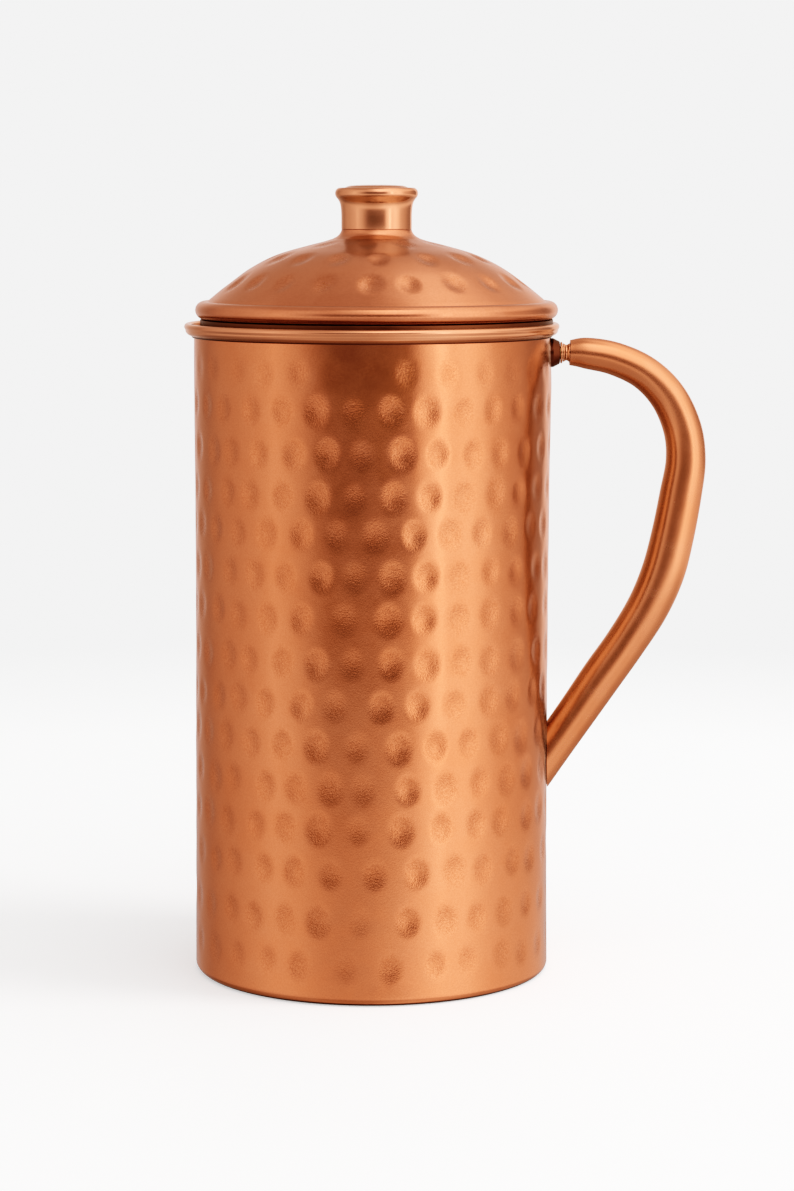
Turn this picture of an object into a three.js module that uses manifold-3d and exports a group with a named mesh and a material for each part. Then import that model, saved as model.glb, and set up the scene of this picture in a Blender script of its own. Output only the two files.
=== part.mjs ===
// Copper water jug: a waisted hammered sheet wall on a flat base, a flared mouth band,
// a hollow tapered side handle, and a loose domed lid with a turned knob.
//
// Millimetres, +Z up. The origin is the centre of the base, on the axis of the wall.
// The handle stands on the +X side, in the plane Y = 0.

import * as THREE from 'three';
import { mergeVertices } from 'three/addons/utils/BufferGeometryUtils.js';
import Module from 'manifold-3d';

const wasm = await Module();
wasm.setup();

// ---------- driving dimensions ----------

// Wall: one sheet, slightly waisted, turned in under the base as a narrow hem.
const WALL_BASE_RADIUS = 56.4;
const WALL_WAIST_RADIUS = 55.9;
const WALL_TOP_RADIUS = 56.1;
const WALL_WAIST_HEIGHT = 125;
const WALL_TOP_HEIGHT = 204.4;
const WALL_THICKNESS = 1.0;
const BASE_CORNER_RADIUS = 2.4;
const HEM_INNER_RADIUS = 51.5;

// Base: a disc flush with the hem, with a raised rim brazed on top of the hem.
const BASE_THICKNESS = 1.0;
const BASE_RIM_RADIUS = 53.8;
const BASE_RIM_WIDTH = 3.4;

// Mouth band: a ring over the top edge of the wall, flared to a rolled crest.
const BAND_FOOT_HEIGHT = 202.6;
const BAND_CREST_RADIUS = 58.15;
const BAND_CREST_HEIGHT = 206.0;
const BAND_ROLL_RADIUS = 1.1;
const BAND_INNER_RADIUS = 53.8;
const GALLERY_RADIUS = 57.5;
const GALLERY_HEIGHT = 205.4;
const GALLERY_THICKNESS = 0.6;

// Lid: it lies loose in the mouth, pushed a little towards the handle.
const LID_SHIFT = 1.5;
const LID_THICKNESS = 0.8;
const LID_SEAT_RADIUS = 11.0;
const LID_SEAT_HEIGHT = 236.4;
const BEAD_CENTRE_RADIUS = 54.5;
const BEAD_CENTRE_HEIGHT = 211.1;
const BEAD_RADIUS = 2.8;
const EDGE_WIRE_RADIUS = 1.7;
const SKIRT_RADIUS = 49.2;
const SKIRT_BOTTOM = 194;
const SKIRT_TOP = 215.6;
const STOP_RIB_RADIUS = 55.7;

// Knob: a turned waisted knob with a shallow domed cap let into its top.
const KNOB_FOOT_RADIUS = 11.4;
const KNOB_WAIST_RADIUS = 11.1;
const KNOB_LIP_RADIUS = 12.9;
const KNOB_TOP = 249.4;
const CAP_RADIUS = 10.2;
const CAP_TOP = 250.3;

// Handle: a tapered tube. Each row is x, z and the outside diameter there.
const HANDLE_GUIDES = [
  [62.6, 197.6, 8.0],
  [68.0, 197.4, 9.9],
  [77.0, 195.6, 10.5],
  [86.5, 191.1, 10.9],
  [93.9, 183.6, 11.6],
  [98.5, 173.6, 12.2],
  [99.7, 163.5, 12.7],
  [98.2, 152.5, 13.4],
  [95.8, 139.5, 13.7],
  [92.8, 127.5, 13.9],
  [88.0, 116.2, 13.5],
  [81.0, 104.8, 13.0],
  [73.6, 94.2, 13.0],
  [66.2, 83.3, 12.6],
  [58.8, 72.6, 12.4],
  [51.4, 61.9, 12.4],
];
const HANDLE_BORE_SHARE = 0.84; // inside diameter over outside diameter
const FOOT_PLUG_SHARE = 0.79; // diameter of the foot plug over that of the tube
const FOOT_PLUG_START = 0.88; // share of the way down the handle where the plug begins
const HANDLE_STEPS = 34;
const FOOT_PLUG_STEPS = 6;

// Screws: one for each end of the handle and one for the knob.
const HANDLE_SCREW_HEIGHT = 197.6;
const FOOT_SCREW_HEIGHT = 72;
const HANDLE_SCREW_RADIUS = 1.9;
const FOOT_SCREW_RADIUS = 1.6;
const KNOB_SCREW_RADIUS = 1.9;
const HOLE_CLEARANCE = 0.3;

// Gaps between pieces that meet, and the fineness of the round pieces.
const FIT_GAP = 0.3;
const SMALL_GAP = 0.2;
const LARGE_SEGMENTS = 48;
const KNOB_SEGMENTS = 30;
const SMALL_SEGMENTS = 16;
const HANDLE_HALF_SIDES = 8;
const MERGE_DISTANCE = 1e-4;

// ---------- materials ----------

function metal(color, roughness) {
  return new THREE.MeshStandardMaterial({ color, roughness, metalness: 1 });
}

const bodyCopper = metal(0xc97a45, 0.36);
const lidCopper = metal(0xc0733f, 0.38);
const polishedCopper = metal(0xd08850, 0.24);
const handleCopper = metal(0xcb7c46, 0.3);
const darkCopper = metal(0x8a4a26, 0.45);
const fastenerBrass = metal(0xb98c52, 0.35);

// ---------- geometry helpers ----------

// Points of an arc in a section, from one angle to another in degrees.
function arc(centreRadius, centreHeight, radius, startDegrees, endDegrees, steps) {
  const points = [];
  for (let i = 0; i <= steps; i += 1) {
    const angle = THREE.MathUtils.degToRad(
      THREE.MathUtils.lerp(startDegrees, endDegrees, i / steps),
    );
    points.push([
      centreRadius + radius * Math.cos(angle),
      centreHeight + radius * Math.sin(angle),
    ]);
  }
  return points;
}

// Solid of revolution about Z. The section runs anticlockwise, with radius to the right,
// and either starts and ends on the axis or is a ring, which is closed here.
function turned(section, segments) {
  const onAxis = section[0][0] === 0 && section.at(-1)[0] === 0;
  const outline = onAxis ? section : [...section, section[0]];
  const points = outline.map(([radius, height]) => new THREE.Vector2(radius, height));
  return new THREE.LatheGeometry(points, segments).rotateX(Math.PI / 2);
}

// The same about a line parallel to X at the given height: heights become X.
function turnedAlongX(section, height) {
  return turned(section, SMALL_SEGMENTS).rotateY(Math.PI / 2).translate(0, 0, height);
}

// Section of a sheet of even thickness, from the run of its outer face.
// The material lies to the right of the direction of travel.
function sheetSection(outerFace, thickness) {
  const last = outerFace.length - 1;
  const innerFace = outerFace.map(([radius, height], i) => {
    const [previousRadius, previousHeight] = outerFace[Math.max(i - 1, 0)];
    const [nextRadius, nextHeight] = outerFace[Math.min(i + 1, last)];
    const along = new THREE.Vector2(nextRadius - previousRadius, nextHeight - previousHeight);
    along.normalize();
    return [radius + along.y * thickness, height - along.x * thickness];
  });
  return [...innerFace, ...outerFace.toReversed()];
}

function toSolid(geometry) {
  const bare = geometry.clone();
  bare.deleteAttribute('normal');
  bare.deleteAttribute('uv');
  const merged = mergeVertices(bare, MERGE_DISTANCE);
  const corners = merged.index.array;
  const triangles = [];
  for (let i = 0; i < corners.length; i += 3) {
    const [a, b, c] = corners.slice(i, i + 3);
    if (a !== b && b !== c && c !== a) {
      triangles.push(a, b, c);
    }
  }
  const mesh = new wasm.Mesh({
    numProp: 3,
    vertProperties: new Float32Array(merged.attributes.position.array),
    triVerts: new Uint32Array(triangles),
  });
  return new wasm.Manifold(mesh);
}

// A piece with other solids cut away from it.
function cut(geometry, cutters) {
  let solid = toSolid(geometry);
  for (const cutter of cutters) {
    solid = solid.subtract(toSolid(cutter));
  }
  const { vertProperties, triVerts } = solid.getMesh();
  const result = new THREE.BufferGeometry();
  result.setAttribute('position', new THREE.BufferAttribute(vertProperties, 3));
  result.setIndex(new THREE.BufferAttribute(triVerts, 1));
  result.computeVertexNormals();
  return result;
}

// A rod along X, for holes.
function rodAlongX(radius, startX, endX, height) {
  const section = [[0, startX], [radius, startX], [radius, endX], [0, endX]];
  return turnedAlongX(section, height);
}

// A flat washer along X.
function washerAlongX(innerRadius, outerRadius, startX, endX, height) {
  const section = [
    [innerRadius, startX],
    [outerRadius, startX],
    [outerRadius, endX],
    [innerRadius, endX],
  ];
  return turnedAlongX(section, height);
}

// A pan-head screw: a domed head at the start, then the shank.
function screwSection(shankRadius, headRadius, headStart, headHeight, tip) {
  const shoulder = headStart + headHeight;
  return [
    [0, headStart],
    [headRadius * 0.6, headStart + headHeight * 0.12],
    [headRadius, headStart + headHeight * 0.55],
    [headRadius, shoulder],
    [shankRadius, shoulder],
    [shankRadius, tip - shankRadius * 0.4],
    [shankRadius * 0.6, tip],
    [0, tip],
  ];
}

// ---------- jug body ----------

// Outside radius of the wall: a parabola through the base, the waist and the top.
function wallRadius(height) {
  const below = height < WALL_WAIST_HEIGHT;
  const endRadius = below ? WALL_BASE_RADIUS : WALL_TOP_RADIUS;
  const endHeight = below ? 0 : WALL_TOP_HEIGHT;
  const share = (height - WALL_WAIST_HEIGHT) / (endHeight - WALL_WAIST_HEIGHT);
  return WALL_WAIST_RADIUS + (endRadius - WALL_WAIST_RADIUS) * share * share;
}

function bodyWall() {
  const bandCount = 5;
  const cornerRadius = WALL_BASE_RADIUS - BASE_CORNER_RADIUS;
  const innerFace = arc(
    cornerRadius, BASE_CORNER_RADIUS, BASE_CORNER_RADIUS - WALL_THICKNESS, 0, -90, 2,
  );
  const outerFace = arc(cornerRadius, BASE_CORNER_RADIUS, BASE_CORNER_RADIUS, -90, 0, 4);
  const section = [...outerFace];
  for (let i = 1; i <= bandCount; i += 1) {
    const height = THREE.MathUtils.lerp(BASE_CORNER_RADIUS, WALL_TOP_HEIGHT, i / bandCount);
    section.push([wallRadius(height), height]);
  }
  for (let i = bandCount; i >= 1; i -= 1) {
    const height = THREE.MathUtils.lerp(BASE_CORNER_RADIUS, WALL_TOP_HEIGHT, i / bandCount);
    section.push([wallRadius(height) - WALL_THICKNESS, height]);
  }
  section.push(...innerFace);
  section.push([HEM_INNER_RADIUS, WALL_THICKNESS], [HEM_INNER_RADIUS, 0]);
  const insideWall = WALL_BASE_RADIUS - 2 * WALL_THICKNESS - BASE_CORNER_RADIUS;
  return cut(turned(section, LARGE_SEGMENTS), [
    rodAlongX(
      HANDLE_SCREW_RADIUS + HOLE_CLEARANCE, insideWall, WALL_BASE_RADIUS + 1,
      HANDLE_SCREW_HEIGHT,
    ),
    rodAlongX(
      FOOT_SCREW_RADIUS + HOLE_CLEARANCE, insideWall, WALL_BASE_RADIUS + 1,
      FOOT_SCREW_HEIGHT,
    ),
  ]);
}

function baseDisc() {
  const discRadius = HEM_INNER_RADIUS - FIT_GAP;
  const rimBottom = WALL_THICKNESS + SMALL_GAP;
  const rimTop = rimBottom + BASE_THICKNESS;
  return turned(
    [
      [0, 0],
      [discRadius, 0],
      [discRadius, rimBottom],
      [BASE_RIM_RADIUS - 0.4, rimBottom],
      [BASE_RIM_RADIUS, rimBottom + 0.4],
      [BASE_RIM_RADIUS, rimTop],
      [BASE_RIM_RADIUS - BASE_RIM_WIDTH, rimTop],
      [BASE_RIM_RADIUS - BASE_RIM_WIDTH - 1, BASE_THICKNESS],
      [0, BASE_THICKNESS],
    ],
    LARGE_SEGMENTS,
  );
}

function mouthBand() {
  const footRadius = WALL_TOP_RADIUS + SMALL_GAP;
  const ledgeBottom = GALLERY_HEIGHT - GALLERY_THICKNESS;
  return turned(
    [
      [footRadius, BAND_FOOT_HEIGHT],
      ...arc(BAND_CREST_RADIUS, BAND_CREST_HEIGHT, BAND_ROLL_RADIUS, -20, 145, 5),
      [GALLERY_RADIUS, GALLERY_HEIGHT],
      [BAND_INNER_RADIUS, GALLERY_HEIGHT],
      [BAND_INNER_RADIUS, ledgeBottom],
      [footRadius, ledgeBottom],
    ],
    LARGE_SEGMENTS,
  );
}

// ---------- handle ----------

const handleRoute = new THREE.SplineCurve(
  HANDLE_GUIDES.map(([x, z]) => new THREE.Vector2(x, z)),
);
const handleRadii = new THREE.SplineCurve(
  HANDLE_GUIDES.map(([, , diameter], i) => new THREE.Vector2(i, diameter / 2)),
);

// Bends a straight unit extrusion along the handle, and scales it to the handle's radius.
function alongHandle(shape, start, end, steps) {
  const geometry = new THREE.ExtrudeGeometry(shape, {
    depth: 1,
    steps,
    bevelEnabled: false,
    curveSegments: HANDLE_HALF_SIDES,
  });
  const position = geometry.attributes.position;
  for (let i = 0; i < position.count; i += 1) {
    const share = THREE.MathUtils.lerp(start, end, position.getZ(i));
    const centre = handleRoute.getPoint(share);
    const along = handleRoute.getTangent(share);
    const radius = handleRadii.getPoint(share).y;
    const outward = position.getX(i) * radius;
    const sideways = position.getY(i) * radius;
    position.setXYZ(i, centre.x + along.y * outward, sideways, centre.y - along.x * outward);
  }
  return geometry;
}

// The space that the wall takes from the foot of the handle.
function wallSpace() {
  const radius = WALL_BASE_RADIUS + FIT_GAP;
  const bottom = 30;
  const top = 120;
  return turned([[0, bottom], [radius, bottom], [radius, top], [0, top]], LARGE_SEGMENTS);
}

function handleTube() {
  const ring = new THREE.Shape().absarc(0, 0, 1, 0, 2 * Math.PI);
  ring.holes.push(new THREE.Path().absarc(0, 0, HANDLE_BORE_SHARE, 0, 2 * Math.PI));
  return cut(alongHandle(ring, 0, 1, HANDLE_STEPS), [wallSpace()]);
}

function footPlug() {
  const disc = new THREE.Shape().absarc(0, 0, FOOT_PLUG_SHARE, 0, 2 * Math.PI);
  const screwHole = rodAlongX(
    FOOT_SCREW_RADIUS + HOLE_CLEARANCE, WALL_BASE_RADIUS - 1, WALL_BASE_RADIUS + 5.6,
    FOOT_SCREW_HEIGHT,
  );
  return cut(
    alongHandle(disc, FOOT_PLUG_START, 1, FOOT_PLUG_STEPS), [wallSpace(), screwHole],
  );
}

// Upper joint, outwards from the wall: pad, thin washer, turned collar, tube.
const PAD_FACE_X = 59.4;
const WASHER_FACE_X = 60.2;
const COLLAR_SHOULDER_X = 62.3;
const COLLAR_TIP_X = 68;

function handlePad() {
  const footRadius = 4.9;
  const faceRadius = 3.7;
  const holeRadius = HANDLE_SCREW_RADIUS + HOLE_CLEARANCE;
  const backX = WALL_BASE_RADIUS - 3;
  const pad = turnedAlongX(
    [
      [holeRadius, backX],
      [footRadius, backX],
      [footRadius, PAD_FACE_X - 1.5],
      [faceRadius, PAD_FACE_X],
      [holeRadius, PAD_FACE_X],
    ],
    HANDLE_SCREW_HEIGHT,
  );
  const wallRadiusHere = WALL_TOP_RADIUS + SMALL_GAP;
  const wallHere = [
    [0, HANDLE_SCREW_HEIGHT - 10],
    [wallRadiusHere, HANDLE_SCREW_HEIGHT - 10],
    [wallRadiusHere, HANDLE_SCREW_HEIGHT + 10],
    [0, HANDLE_SCREW_HEIGHT + 10],
  ];
  const bandHere = [
    [0, BAND_FOOT_HEIGHT - FIT_GAP],
    [WALL_BASE_RADIUS + 5, BAND_FOOT_HEIGHT - FIT_GAP],
    [WALL_BASE_RADIUS + 5, BAND_FOOT_HEIGHT + 5],
    [0, BAND_FOOT_HEIGHT + 5],
  ];
  return cut(pad, [turned(wallHere, LARGE_SEGMENTS), turned(bandHere, LARGE_SEGMENTS)]);
}

function handleWasher() {
  return washerAlongX(
    HANDLE_SCREW_RADIUS + HOLE_CLEARANCE, 3.4, PAD_FACE_X + SMALL_GAP, WASHER_FACE_X,
    HANDLE_SCREW_HEIGHT,
  );
}

function handleCollar() {
  const boreRadius = HANDLE_SCREW_RADIUS + HOLE_CLEARANCE;
  const collarRadius = 2.9;
  const shankRadius = 2.7;
  const backX = WASHER_FACE_X + SMALL_GAP;
  return turnedAlongX(
    [
      [boreRadius, backX],
      [collarRadius - 0.3, backX],
      [collarRadius, backX + 0.3],
      [collarRadius, COLLAR_SHOULDER_X],
      [shankRadius, COLLAR_SHOULDER_X + 0.3],
      [shankRadius, COLLAR_TIP_X],
      [boreRadius, COLLAR_TIP_X],
    ],
    HANDLE_SCREW_HEIGHT,
  );
}

// Screws are put in from inside the jug, each with a flat washer on the wall.
const INNER_WASHER_FACE_X = 54.6;
const INNER_WASHER_THICKNESS = 0.7;
const SCREW_HEAD_HEIGHT = 2;
const SCREW_SHOULDER_X = INNER_WASHER_FACE_X - INNER_WASHER_THICKNESS - SMALL_GAP;

function innerScrew(shankRadius, headRadius, tipX, height) {
  const headStart = SCREW_SHOULDER_X - SCREW_HEAD_HEIGHT;
  const section = screwSection(shankRadius, headRadius, headStart, SCREW_HEAD_HEIGHT, tipX);
  return turnedAlongX(section, height);
}

function innerWasher(screwRadius, outerRadius, height) {
  const startX = INNER_WASHER_FACE_X - INNER_WASHER_THICKNESS;
  const holeRadius = screwRadius + HOLE_CLEARANCE;
  return washerAlongX(holeRadius, outerRadius, startX, INNER_WASHER_FACE_X, height);
}

// ---------- lid and knob ----------

// Outer face of the lid sheet: the knob's seat, the dome, the flared brim and the bead.
function lidOuterFace() {
  const seat = [
    [KNOB_SCREW_RADIUS + HOLE_CLEARANCE, LID_SEAT_HEIGHT],
    [LID_SEAT_RADIUS, LID_SEAT_HEIGHT],
  ];
  const domeCurve = new THREE.SplineCurve([
    new THREE.Vector2(LID_SEAT_RADIUS + 0.8, LID_SEAT_HEIGHT - 0.4),
    new THREE.Vector2(14.4, 234.0),
    new THREE.Vector2(22.0, 231.8),
    new THREE.Vector2(31.5, 228.4),
    new THREE.Vector2(39.8, 224.2),
    new THREE.Vector2(46.6, 219.4),
    new THREE.Vector2(52.4, 214.7),
  ]);
  const dome = domeCurve.getPoints(8).map(({ x, y }) => [x, y]);
  const bead = arc(BEAD_CENTRE_RADIUS, BEAD_CENTRE_HEIGHT, BEAD_RADIUS, 110, -180, 7);
  return [...seat, ...dome, ...bead];
}

function lidDome() {
  return turned(sheetSection(lidOuterFace(), LID_THICKNESS), LARGE_SEGMENTS);
}

function lidEdgeWire() {
  const section = arc(BEAD_CENTRE_RADIUS, BEAD_CENTRE_HEIGHT, EDGE_WIRE_RADIUS, -180, 120, 5);
  return turned(section, LARGE_SEGMENTS);
}

function lidSkirt() {
  const inner = SKIRT_RADIUS - LID_THICKNESS;
  const ribBottom = GALLERY_HEIGHT + FIT_GAP;
  const ribTop = ribBottom + LID_THICKNESS;
  return turned(
    [
      [inner, SKIRT_BOTTOM],
      [SKIRT_RADIUS, SKIRT_BOTTOM],
      [SKIRT_RADIUS, ribBottom],
      [STOP_RIB_RADIUS, ribBottom],
      [STOP_RIB_RADIUS, ribTop],
      [SKIRT_RADIUS, ribTop],
      [SKIRT_RADIUS, SKIRT_TOP],
      [inner, SKIRT_TOP],
    ],
    LARGE_SEGMENTS,
  );
}

const KNOB_BOTTOM = LID_SEAT_HEIGHT + SMALL_GAP;
const KNOB_HOLE_TOP = KNOB_BOTTOM + 7.8;
const CAP_RECESS = 1.2;

function knobBody() {
  const holeRadius = KNOB_SCREW_RADIUS + HOLE_CLEARANCE;
  const lipCentreHeight = KNOB_TOP - 1.5;
  const flare = new THREE.QuadraticBezierCurve(
    new THREE.Vector2(KNOB_WAIST_RADIUS, KNOB_BOTTOM + 4.9),
    new THREE.Vector2(KNOB_WAIST_RADIUS, KNOB_TOP - 4.2),
    new THREE.Vector2(KNOB_LIP_RADIUS - 0.5, KNOB_TOP - 2.6),
  );
  return turned(
    [
      [0, KNOB_HOLE_TOP],
      [holeRadius, KNOB_HOLE_TOP],
      [holeRadius, KNOB_BOTTOM],
      [KNOB_FOOT_RADIUS, KNOB_BOTTOM],
      [KNOB_WAIST_RADIUS, KNOB_BOTTOM + 0.6],
      ...flare.getPoints(4).map(({ x, y }) => [x, y]),
      ...arc(KNOB_LIP_RADIUS - 1.5, lipCentreHeight, 1.5, -15, 90, 4),
      [CAP_RADIUS + FIT_GAP, KNOB_TOP],
      [CAP_RADIUS + FIT_GAP, KNOB_TOP - CAP_RECESS],
      [0, KNOB_TOP - CAP_RECESS],
    ],
    KNOB_SEGMENTS,
  );
}

function knobCap() {
  const bottom = KNOB_TOP - CAP_RECESS + SMALL_GAP;
  const dome = new THREE.QuadraticBezierCurve(
    new THREE.Vector2(CAP_RADIUS, KNOB_TOP),
    new THREE.Vector2(CAP_RADIUS * 0.72, CAP_TOP),
    new THREE.Vector2(0, CAP_TOP),
  );
  return turned(
    [[0, bottom], [CAP_RADIUS, bottom], ...dome.getPoints(4).map(({ x, y }) => [x, y])],
    KNOB_SEGMENTS,
  );
}

const KNOB_WASHER_TOP = LID_SEAT_HEIGHT - LID_THICKNESS - SMALL_GAP;
const KNOB_WASHER_BOTTOM = KNOB_WASHER_TOP - 0.9;

function knobWasher() {
  const holeRadius = KNOB_SCREW_RADIUS + HOLE_CLEARANCE;
  const outerRadius = 6.5;
  return turned(
    [
      [holeRadius, KNOB_WASHER_BOTTOM],
      [outerRadius, KNOB_WASHER_BOTTOM],
      [outerRadius, KNOB_WASHER_TOP],
      [holeRadius, KNOB_WASHER_TOP],
    ],
    SMALL_SEGMENTS,
  );
}

function knobScrew() {
  const headHeight = 2.2;
  const headStart = KNOB_WASHER_BOTTOM - SMALL_GAP - headHeight;
  const tip = KNOB_HOLE_TOP - FIT_GAP;
  return turned(
    screwSection(KNOB_SCREW_RADIUS, 3.6, headStart, headHeight, tip),
    SMALL_SEGMENTS,
  );
}

// ---------- assembly ----------

function piece(name, geometry, material) {
  const mesh = new THREE.Mesh(geometry, material);
  mesh.name = name;
  return mesh;
}

const body = new THREE.Group();
body.add(
  piece('body_wall', bodyWall(), bodyCopper),
  piece('base_disc', baseDisc(), bodyCopper),
  piece('mouth_band', mouthBand(), polishedCopper),
);

const handle = new THREE.Group();
handle.add(
  piece('handle_tube', handleTube(), handleCopper),
  piece('handle_pad', handlePad(), darkCopper),
  piece('handle_washer', handleWasher(), polishedCopper),
  piece('handle_collar', handleCollar(), darkCopper),
  piece(
    'handle_screw',
    innerScrew(HANDLE_SCREW_RADIUS, 3.6, COLLAR_TIP_X - 2, HANDLE_SCREW_HEIGHT),
    fastenerBrass,
  ),
  piece(
    'handle_screw_washer', innerWasher(HANDLE_SCREW_RADIUS, 5, HANDLE_SCREW_HEIGHT),
    fastenerBrass,
  ),
  piece('foot_plug', footPlug(), darkCopper),
  piece(
    'foot_screw',
    innerScrew(FOOT_SCREW_RADIUS, 3.1, WALL_BASE_RADIUS + 5.2, FOOT_SCREW_HEIGHT),
    fastenerBrass,
  ),
  piece(
    'foot_screw_washer', innerWasher(FOOT_SCREW_RADIUS, 4.5, FOOT_SCREW_HEIGHT),
    fastenerBrass,
  ),
);

const lid = new THREE.Group();
lid.position.x = LID_SHIFT;
lid.add(
  piece('lid_dome', lidDome(), lidCopper),
  piece('lid_edge_wire', lidEdgeWire(), darkCopper),
  piece('lid_skirt', lidSkirt(), lidCopper),
  piece('knob_body', knobBody(), polishedCopper),
  piece('knob_cap', knobCap(), polishedCopper),
  piece('knob_screw', knobScrew(), fastenerBrass),
  piece('knob_washer', knobWasher(), fastenerBrass),
);

const jug = new THREE.Group();
jug.add(body, handle, lid);

export default jug;
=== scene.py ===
"""Looks of a hammered copper water jug with a loose domed lid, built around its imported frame.

Sections of turned pieces are written in millimetres as (radius, height) and made in metres.
The jug stands on z = 0 with its axis on the origin; the handle is on the +X side.
"""

import itertools
import math
import random

import bpy
import numpy as np
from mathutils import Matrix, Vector


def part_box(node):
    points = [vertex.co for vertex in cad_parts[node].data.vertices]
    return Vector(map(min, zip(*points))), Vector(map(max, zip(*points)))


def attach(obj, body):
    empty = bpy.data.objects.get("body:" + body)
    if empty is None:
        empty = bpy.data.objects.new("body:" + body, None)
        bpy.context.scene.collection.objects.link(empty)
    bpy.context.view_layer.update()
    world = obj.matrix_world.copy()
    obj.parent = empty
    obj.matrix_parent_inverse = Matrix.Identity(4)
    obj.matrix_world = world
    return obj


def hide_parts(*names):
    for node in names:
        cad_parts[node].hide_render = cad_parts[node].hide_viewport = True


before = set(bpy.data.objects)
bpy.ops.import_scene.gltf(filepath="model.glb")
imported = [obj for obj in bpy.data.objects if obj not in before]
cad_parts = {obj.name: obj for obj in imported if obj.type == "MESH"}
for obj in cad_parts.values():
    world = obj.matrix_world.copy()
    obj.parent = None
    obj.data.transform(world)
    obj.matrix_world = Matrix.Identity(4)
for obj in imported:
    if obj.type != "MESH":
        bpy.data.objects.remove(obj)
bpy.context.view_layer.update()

MM = 0.001
DEG = math.pi / 180
rng = random.Random(11)


# ---------- sizes read from the frame ----------

def box_mm(node):
    low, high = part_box(node)
    return [v / MM for v in low], [v / MM for v in high]


_, wall_high = box_mm("body_wall")
band_low, band_high = box_mm("mouth_band")
lid_low, lid_high = box_mm("lid_dome")
knob_low, knob_high = box_mm("knob_body")
cap_low, cap_high = box_mm("knob_cap")
skirt_low, skirt_high = box_mm("lid_skirt")
_, disc_high = box_mm("base_disc")

# The jug, in mm.
WALL_BASE_RADIUS = wall_high[0]
WALL_TOP = wall_high[2]
WALL_WAIST_RADIUS = WALL_BASE_RADIUS - 0.5
WALL_TOP_RADIUS = WALL_BASE_RADIUS - 0.3
WALL_WAIST_HEIGHT = 125
WALL_THICKNESS = 1.0
CORNER_RADIUS = 2.4
HEM_INNER_RADIUS = WALL_BASE_RADIUS - 4.9
GALLERY_THICKNESS = 0.6
HANDLE_TOP_HEIGHT = 197.6  # of the axis of the pad, washer, collar and upper screw
FOOT_SCREW_HEIGHT = 72

# The lid, in mm.
LID_X = (lid_low[0] + lid_high[0]) / 2
LID_THICKNESS = 0.8

BORE_RADIUS = 2.2  # of the knob's hole and of the washers, in mm


def wall_radius(height):
    """Outside radius of the wall in mm: narrowest at the waist."""
    height = np.asarray(height, float)
    below = height < WALL_WAIST_HEIGHT
    end_radius = np.where(below, WALL_BASE_RADIUS, WALL_TOP_RADIUS)
    end_height = np.where(below, 0.0, WALL_TOP)
    share = (height - WALL_WAIST_HEIGHT) / (end_height - WALL_WAIST_HEIGHT)
    return WALL_WAIST_RADIUS + (end_radius - WALL_WAIST_RADIUS) * share**2


# ---------- mesh helpers ----------

def mesh_object(name, points, faces, material, sharp_degrees=40):
    """A smooth-shaded mesh object from points in mm, with edges over the angle kept sharp."""
    mesh = bpy.data.meshes.new(name)
    mesh.from_pydata((np.asarray(points, float) * MM).tolist(), [], faces)
    mesh.polygons.foreach_set("use_smooth", [True] * len(mesh.polygons))
    mesh.set_sharp_from_angle(angle=sharp_degrees * DEG)
    mesh.materials.append(material)
    mesh.update()
    piece = bpy.data.objects.new(name, mesh)
    bpy.context.scene.collection.objects.link(piece)
    return piece


def arc(centre, radius, start, end, steps):
    """Points of an arc in a section, between two angles in degrees."""
    angles = np.linspace(start * DEG, end * DEG, steps + 1)
    return [(centre[0] + radius * math.cos(a), centre[1] + radius * math.sin(a)) for a in angles]


def rounded(corners, closed=True, steps=4):
    """Replaces each corner (x, y, radius) of an outline by a small arc."""
    points = []
    count = len(corners)
    for i, (x, y, radius) in enumerate(corners):
        corner = Vector((x, y))
        if radius == 0 or (not closed and i in (0, count - 1)):
            points.append((x, y))
            continue
        before = Vector(corners[i - 1][:2]) - corner
        after = Vector(corners[(i + 1) % count][:2]) - corner
        reach = min(radius, before.length * 0.49, after.length * 0.49)
        start = corner + before.normalized() * reach
        end = corner + after.normalized() * reach
        for k in range(steps + 1):
            t = k / steps
            point = start * (1 - t) ** 2 + corner * 2 * t * (1 - t) + end * t**2
            points.append((point.x, point.y))
    return points


def smooth_run(guides, steps):
    """A Catmull-Rom run through guide points, with the given steps between each two."""
    guides = np.asarray(guides, float)
    padded = np.vstack([2 * guides[0] - guides[1], guides, 2 * guides[-1] - guides[-2]])
    run = []
    for i in range(len(guides) - 1):
        a, b, c, d = padded[i : i + 4]
        for t in np.arange(steps) / steps:
            run.append(
                0.5 * (2 * b + (c - a) * t + (2 * a - 5 * b + 4 * c - d) * t**2
                       + (3 * b - a - 3 * c + d) * t**3)
            )
    run.append(guides[-1])
    return [tuple(p) for p in run]


def sheet_section(outer_face, thickness):
    """Closed section of a sheet whose material lies right of the run of its outer face."""
    run = np.asarray(outer_face, float)
    along = np.gradient(run, axis=0)
    along /= np.linalg.norm(along, axis=1)[:, None]
    inner = run + np.column_stack([along[:, 1], -along[:, 0]]) * thickness
    return [tuple(p) for p in inner] + [tuple(p) for p in run[::-1]]


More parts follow.
